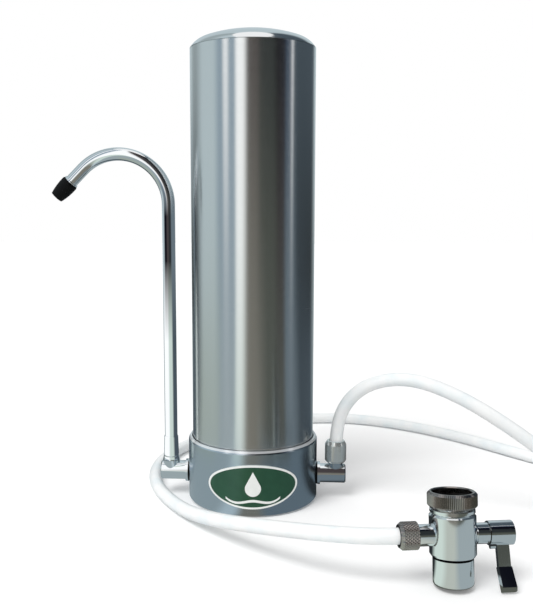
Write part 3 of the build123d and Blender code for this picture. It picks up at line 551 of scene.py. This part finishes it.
# felted fleece round the carbon block: off-white tangled fibres, drawn as tufts 2.4 mm wide so that they show
fleeceFinish = {
    "shade": "#d5d3cb", "fibre": "#f3f2ee", "tuft": 2.4, "tuftEdges": (0.3, 0.7), "tangle": 2.0,
    "ragged": 0.75, "rough": 0.95, "sheen": 0.3, "bump": 0.5, "bumpDepth": 0.5,
}
fleece, shader = newMaterial("feltedFleece")
setShader(shader, {"Roughness": fleeceFinish["rough"], "Sheen Weight": fleeceFinish["sheen"]})
coords = addNode(fleece, "ShaderNodeTexCoord")
fibres = addNode(
    fleece, "ShaderNodeTexNoise",
    values={
        "Scale": perMetre(fleeceFinish["tuft"]), "Detail": 6.0, "Roughness": fleeceFinish["ragged"],
        "Distortion": fleeceFinish["tangle"],
    },
    links={"Vector": coords.outputs["Object"]},
)
fleeceColour = addNode(fleece, "ShaderNodeValToRGB", links={"Fac": fibres.outputs["Fac"]})
fleeceColour.color_ramp.elements[0].position = fleeceFinish["tuftEdges"][0]
fleeceColour.color_ramp.elements[1].position = fleeceFinish["tuftEdges"][1]
fleeceColour.color_ramp.elements[0].color = hexColour(fleeceFinish["shade"])
fleeceColour.color_ramp.elements[1].color = hexColour(fleeceFinish["fibre"])
fibreBump = addNode(
    fleece, "ShaderNodeBump",
    values={"Strength": fleeceFinish["bump"], "Distance": mm(fleeceFinish["bumpDepth"])},
    links={"Height": fibres.outputs["Fac"]},
)
linkShader(fleece, shader, "Base Color", fleeceColour.outputs["Color"])
linkShader(fleece, shader, "Normal", fibreBump.outputs["Normal"])

# both enamels of the badge are glossy under a thin clear skin
enamelGloss = {"Roughness": 0.32, "Coat Weight": 0.35, "Coat Roughness": 0.08}

# green enamel of the badge: glossy, with a slightly uneven pour
greenFinish = {"thin": "#28573e", "deep": "#1a4630", "pour": 6}
greenEnamel, shader = newMaterial("greenEnamel")
setShader(shader, enamelGloss)
coords = addNode(greenEnamel, "ShaderNodeTexCoord")
greenPour = addNode(
    greenEnamel, "ShaderNodeTexNoise", values={"Scale": perMetre(greenFinish["pour"]), "Detail": 4.0},
    links={"Vector": coords.outputs["Object"]},
)
greenColour = addNode(greenEnamel, "ShaderNodeValToRGB", links={"Fac": greenPour.outputs["Fac"]})
greenColour.color_ramp.elements[0].color = hexColour(greenFinish["deep"])
greenColour.color_ramp.elements[1].color = hexColour(greenFinish["thin"])
linkShader(greenEnamel, shader, "Base Color", greenColour.outputs["Color"])

# white enamel of the badge's border and motif
whiteFinish = {"shade": "#e9ece8", "white": "#fbfcfa", "pour": 4}
whiteEnamel, shader = newMaterial("whiteEnamel")
setShader(shader, enamelGloss)
coords = addNode(whiteEnamel, "ShaderNodeTexCoord")
whitePour = addNode(
    whiteEnamel, "ShaderNodeTexNoise", values={"Scale": perMetre(whiteFinish["pour"]), "Detail": 3.0},
    links={"Vector": coords.outputs["Object"]},
)
whiteColour = addNode(whiteEnamel, "ShaderNodeValToRGB", links={"Fac": whitePour.outputs["Fac"]})
whiteColour.color_ramp.elements[0].color = hexColour(whiteFinish["shade"])
whiteColour.color_ramp.elements[1].color = hexColour(whiteFinish["white"])
linkShader(whiteEnamel, shader, "Base Color", whiteColour.outputs["Color"])

# each solid takes the finish of its slot, apart from three chrome pieces with finishes of their own; the
# diverter's barrel and outlet collar carry a painted shadow at their joint
finishes = {
    "brushed_housing": brushedSteel,
    "polished_dome": polishedSteel,
    "satin_base": satinSteel,
    "plain_steel": rolledSteel,
    "chrome_fitting": chromePlate,
    "brass_inner": turnedBrass,
    "black_rubber": blackRubber,
    "milky_hose": milkyTube,
    "white_plastic": whitePlastic,
    "carbon_block": carbonBlock,
    "fleece": fleece,
    "dark_plastic": blackRubber,
    "green_enamel": greenEnamel,
    "white_enamel": whiteEnamel,
}
ownFinishes = {"inlet_nut": satinChrome, "diverter_body": chromeWithJointShadow, "outlet_collar": chromeWithJointShadow}
for subpart in frame["record"]["subparts"]:
    node = frame["nodes"][subpart["node"]]
    finish = ownFinishes.get(subpart["node"], finishes[subpart["material_slot"]])
    node.data.materials.clear()
    node.data.materials.append(finish)
hoseCurve.materials.append(milkyTube)
nutPiece.data.materials.append(knurledChrome)
hoseNutPiece.data.materials.append(knurledChrome)
print("finishes set")

# white floor: the lift brings it to plain white where no shadow falls
floorLook = {"size": 8, "colour": "#f4f4f4", "rough": 0.9, "lift": 0.14}
bpy.ops.object.select_all(action="DESELECT")
bpy.ops.mesh.primitive_plane_add(size=floorLook["size"])
floor = bpy.context.object
floor.name = "floor"
paleFloor, shader = newMaterial("paleFloor")
setShader(shader, {
    "Base Color": hexColour(floorLook["colour"]), "Roughness": floorLook["rough"],
    "Emission Color": (1, 1, 1, 1),
})
path = addNode(paleFloor, "ShaderNodeLightPath")
seen = addNode(
    paleFloor, "ShaderNodeMath", {"operation": "MAXIMUM"},
    links={0: path.outputs["Is Camera Ray"], 1: path.outputs["Is Glossy Ray"]},
)
seen = addNode(
    paleFloor, "ShaderNodeMath", {"operation": "MAXIMUM"},
    links={0: seen.outputs[0], 1: path.outputs["Is Transmission Ray"]},
)
lift = addNode(
    paleFloor, "ShaderNodeMath", {"operation": "MULTIPLY"}, {1: floorLook["lift"]}, {0: seen.outputs[0]},
)
linkShader(paleFloor, shader, "Emission Strength", lift.outputs[0])
floor.data.materials.append(paleFloor)

# world: white where it is seen, softer as light
worldLook = {"light": 0.6, "seen": 1.0}
world = bpy.data.worlds.new("studio")
world.use_nodes = True
bpy.context.scene.world = world
background = world.node_tree.nodes["Background"]
background.inputs["Color"].default_value = (1, 1, 1, 1)
path = addNode(world, "ShaderNodeLightPath")
seen = addNode(
    world, "ShaderNodeMath", {"operation": "MAXIMUM"},
    links={0: path.outputs["Is Camera Ray"], 1: path.outputs["Is Glossy Ray"]},
)
seen = addNode(
    world, "ShaderNodeMath", {"operation": "MAXIMUM"},
    links={0: seen.outputs[0], 1: path.outputs["Is Transmission Ray"]},
)
level = addNode(
    world, "ShaderNodeMapRange", values={"To Min": worldLook["light"], "To Max": worldLook["seen"]},
    links={"Value": seen.outputs[0]},
)
world.node_tree.links.new(level.outputs["Result"], background.inputs["Strength"])

# rings of reflector cards, seen only in the metal: pale cards and lamp strips on the left, dark on the right
# a card is its first and last angle, counted from the camera's side and negative to the left, and its tone
# low cards turn into high ones across the ring's band of heights, and a ring ends softly across its fade
cards = {
    "brightness": 1.15,
    "wholeSet": 20,  # metres, further away than any card
    "tones": {
        "white": "#ffffff", "mist": "#c9d6ce", "lichen": "#b3b9b1", "pale": "#b4c1c6", "sage": "#9ca69f",
        "stone": "#98a3a6", "steel": "#8798a5", "clay": "#78766e", "slate": "#66727a", "ash": "#555851",
        "charcoal": "#48525a", "navy": "#303d51", "umber": "#453f40", "coal": "#2b2f31", "black": "#0e0f17",
    },
}


def hangCards(name, ring):
    # an open ring that glows on its inside, for metal that is within its reach
    bpy.ops.object.select_all(action="DESELECT")
    bpy.ops.mesh.primitive_cone_add(
        vertices=ring["sides"], radius1=ring["foot"], radius2=ring["top"], depth=ring["depth"],
        end_fill_type="NOTHING", location=ring["middle"],
    )
    cardRing = bpy.context.object
    cardRing.name = name
    card = bpy.data.materials.new(name)
    card.use_nodes = True
    card.node_tree.nodes.clear()
    coords = addNode(card, "ShaderNodeTexCoord")
    place = addNode(card, "ShaderNodeSeparateXYZ", links={"Vector": coords.outputs["Object"]})
    front = addNode(card, "ShaderNodeMath", {"operation": "MULTIPLY"}, {1: -1.0}, {0: place.outputs["Y"]})
    turn = addNode(
        card, "ShaderNodeMath", {"operation": "ARCTAN2"}, links={0: place.outputs["X"], 1: front.outputs[0]},
    )
    share = addNode(
        card, "ShaderNodeMapRange", values={"From Min": -pi, "From Max": pi},
        links={"Value": turn.outputs[0]},
    )
    ramps = []
    for colours in [ring[level] for level in ("low", "high") if level in ring]:
        ramp = addNode(card, "ShaderNodeValToRGB", links={"Fac": share.outputs["Result"]})
        stops = ramp.color_ramp.elements
        stops[0].color = stops[1].color = hexColour(cards["tones"][colours[0][2]])
        for fromAngle, toAngle, tone in colours:
            for angle in (fromAngle, toAngle):
                stops.new(min(1, (angle + view["turn"] + 180) / 360)).color = hexColour(cards["tones"][tone])
        ramps.append(ramp)
    glow = addNode(
        card, "ShaderNodeEmission", values={"Strength": cards["brightness"]},
        links={"Color": ramps[0].outputs["Color"]},
    )
    middle = cardRing.location.z
    if "high" in ring:
        rise = addNode(
            card, "ShaderNodeMapRange",
            values={"From Min": ring["band"][0] - middle, "From Max": ring["band"][1] - middle},
            links={"Value": place.outputs["Z"]},
        )
        blend = addNode(
            card, "ShaderNodeMix", {"data_type": "RGBA"},
            links={0: rise.outputs["Result"], 6: ramps[0].outputs["Color"], 7: ramps[1].outputs["Color"]},
        )
        card.node_tree.links.new(blend.outputs[2], glow.inputs["Color"])
    side = addNode(card, "ShaderNodeNewGeometry")
    path = addNode(card, "ShaderNodeLightPath")
    near = addNode(
        card, "ShaderNodeMath", {"operation": "LESS_THAN"}, {1: ring["reach"]},
        {0: path.outputs["Ray Length"]},
    )
    shows = addNode(
        card, "ShaderNodeMath", {"operation": "MULTIPLY"},
        links={0: side.outputs["Backfacing"], 1: near.outputs[0]},
    )
    if "fade" in ring:
        thin = addNode(
            card, "ShaderNodeMapRange",
            values={
                "From Min": ring["fade"][0] - middle, "From Max": ring["fade"][1] - middle,
                "To Min": 1, "To Max": 0,
            },
            links={"Value": place.outputs["Z"]},
        )
        shows = addNode(
            card, "ShaderNodeMath", {"operation": "MULTIPLY"},
            links={0: shows.outputs[0], 1: thin.outputs["Result"]},
        )
    clear = addNode(card, "ShaderNodeBsdfTransparent")
    inner = addNode(
        card, "ShaderNodeMixShader", links={0: shows.outputs[0], 1: clear.outputs[0], 2: glow.outputs[0]},
    )
    addNode(card, "ShaderNodeOutputMaterial", links={"Surface": inner.outputs[0]})
    card.cycles.emission_sampling = "NONE"
    cardRing.data.materials.append(card)
    cardRing.visible_camera = False
    cardRing.visible_diffuse = False
    cardRing.visible_shadow = False


# wall of cards round the whole set
wallCards = {
    "sides": 180, "foot": 1.0, "top": 1.0, "depth": 3.2, "middle": (0, 0, 1.6), "reach": cards["wholeSet"],
    "band": (0.12, 0.45),
    "high": [
        (-180, -146, "pale"), (-138, -122, "stone"), (-102, -74, "pale"), (-62, -56, "steel"),
        (-53, -46, "white"), (-43, -33, "steel"), (-29, -16, "white"), (-9, 8, "umber"), (14, 36, "coal"),
        (41, 58, "black"), (62, 71, "navy"), (73, 75.5, "white"), (77.5, 138, "charcoal"), (152, 180, "pale"),
    ],
    "low": [
        (-180, -166, "stone"), (-156, -124, "coal"), (-104, -74, "pale"), (-62, -33, "steel"),
        (-29, -20, "white"), (-10, 4, "clay"), (14, 40, "ash"), (46, 57, "umber"), (62, 76, "slate"),
        (86, 135, "coal"), (160, 180, "stone"),
    ],
}
hangCards("wallCards", wallCards)

# cards on the floor, just above it: the far ones colour the can, the near ones the base
farFloorCards = {
    "sides": 180, "foot": 0.17, "top": wallCards["top"], "depth": 0.0001, "middle": (0, 0, 0.0002),
    "reach": cards["wholeSet"],
    "low": [
        (-180, -160, "stone"), (-150, -126, "charcoal"), (-102, -66, "sage"), (-56, -33, "stone"),
        (-29, -20, "mist"), (-10, 12, "clay"), (26, 57, "ash"), (62, 84, "slate"), (96, 134, "charcoal"),
        (160, 180, "stone"),
    ],
}
hangCards("farFloorCards", farFloorCards)
nearFloorCards = {
    "sides": 180, "foot": 0.01, "top": farFloorCards["foot"], "depth": 0.0001, "middle": (0, 0, 0.0002),
    "reach": cards["wholeSet"],
    "low": [
        (-180, -166, "stone"), (-150, -124, "charcoal"), (-104, -40, "stone"), (-29, -20, "pale"),
        (-10, 4, "clay"), (14, 76, "slate"), (88, 104, "coal"), (118, 150, "black"), (166, 180, "stone"),
    ],
}
hangCards("nearFloorCards", nearFloorCards)

# bowl of cards round the diverter's foot
valveCards = {
    "sides": 90, "foot": 0.016, "top": 0.1, "depth": 0.03, "middle": (0.124, -0.139, 0.0154), "reach": 0.1,
    "low": [
        (-180, -116, "coal"), (-92, -60, "mist"), (-36, -8, "lichen"), (14, 102, "stone"), (118, 180, "coal"),
    ],
}
hangCards("valveCards", valveCards)

# cards close round the spout's riser, which end softly at its bend
spoutCards = {
    "sides": 90, "foot": 0.012, "top": 0.012, "depth": 0.208, "middle": (-0.0615, 0, 0.132), "reach": 0.0118,
    "band": (0.115, 0.175), "fade": (0.208, 0.236),
    "high": [
        (-180, -78, "pale"), (-54, -32, "black"), (-18, -2, "umber"), (12, 30, "coal"), (46, 116, "slate"),
        (156, 180, "stone"),
    ],
    "low": [
        (-180, -104, "stone"), (-92, -24, "white"), (-4, 30, "mist"), (50, 126, "charcoal"),
        (156, 180, "stone"),
    ],
}
hangCards("spoutCards", spoutCards)

# one broad soft sun from the upper left, kept out of the metal, where the cards do the work
key = {"strength": 1.8, "spread": 30, "tilt": 34, "turn": -38}
keyData = bpy.data.lights.new("keyLight", "SUN")
keyData.energy = key["strength"]
keyData.angle = radians(key["spread"])
keyLight = bpy.data.objects.new("keyLight", keyData)
keyLight.rotation_euler = (radians(key["tilt"]), 0, radians(key["turn"]))
keyLight.visible_glossy = False
bpy.context.scene.collection.objects.link(keyLight)

bpy.context.scene.view_settings.view_transform = "Standard"
print("studio lit")
